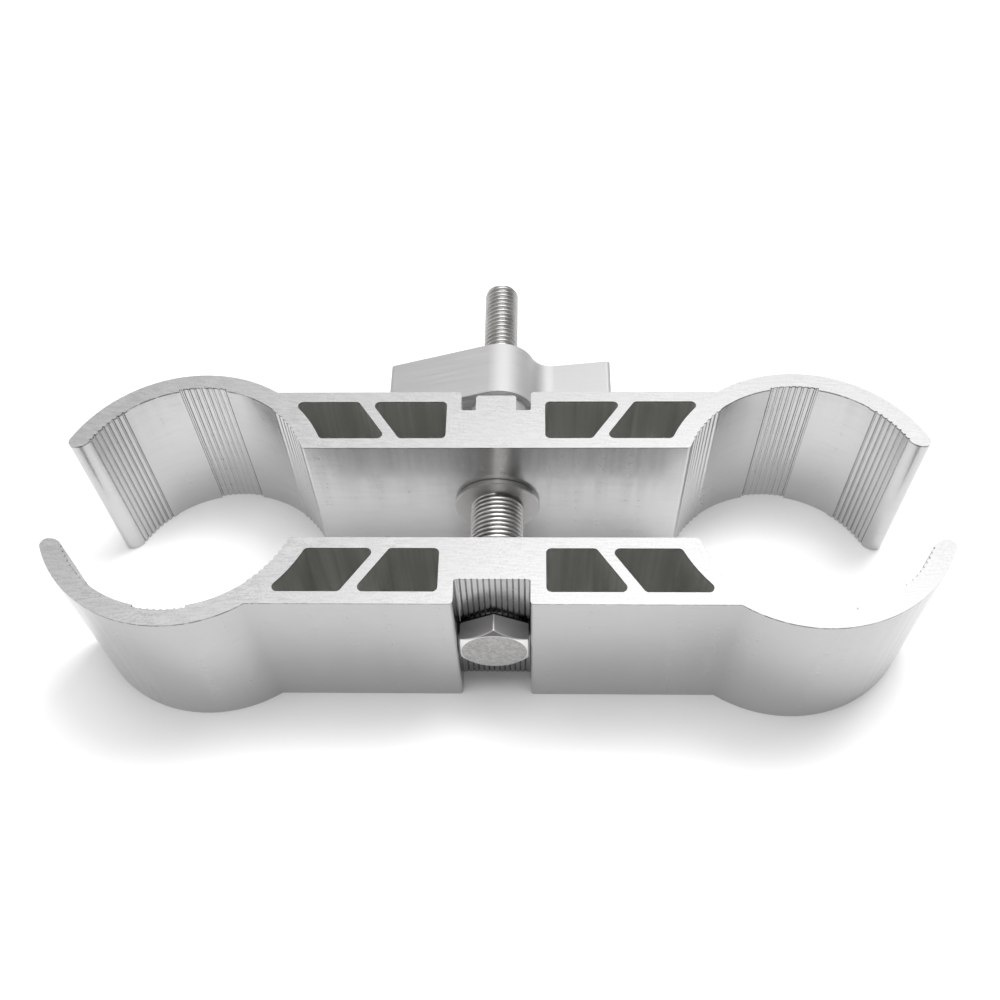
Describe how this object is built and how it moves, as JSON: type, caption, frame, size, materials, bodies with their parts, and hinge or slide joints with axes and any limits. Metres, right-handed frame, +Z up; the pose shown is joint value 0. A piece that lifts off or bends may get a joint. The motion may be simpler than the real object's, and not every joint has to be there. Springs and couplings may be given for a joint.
{
  "type": "leg clamp",
  "caption": "Two hollow aluminium jaws with toothed round seats, drawn together by one bolt and a wing nut to hold two parallel round legs.",
  "frame": {"origin": "on the sawn base plane, straight below the bolt's axis, in the middle of the front jaw's web", "axes": "+X along the jaws, +Y along the bolt from its head to the wing nut, +Z up, square to the sawn faces"},
  "size_m": [0.218, 0.1274, 0.05],
  "materials": {
    "extrusion": "satin anodised sides, sawn end faces",
    "fasteners": "plain stainless steel",
    "spring_wire": "bright stainless wire",
    "nut": "satin extrusion with sawn and turned faces"
  },
  "bodies": {
    "front": {"front_jaw": "extrusion", "clamp_bolt": "fasteners", "front_washer": "fasteners", "return_spring": "spring_wire"},
    "rear": {"rear_jaw": "extrusion", "rear_washer": "fasteners"},
    "nut": {"wing_nut": "nut"}
  },
  "joints": [
    {"name": "jaw_slide", "type": "slide", "parent": "front", "child": "rear", "axis": [0, 1, 0], "range_m": [-0.0045, 0.012], "deforming": ["return_spring"]},
    {"name": "nut_turn", "type": "hinge", "parent": "rear", "child": "nut", "pos_m": [0, 0.04915, 0.025], "axis": [0, 1, 0], "range_deg": [-1081, 2881]}
  ],
  "couplings": [
    {"joint": "nut_turn", "follows": "jaw_slide", "rad_per_m": 4188.8}
  ]
}
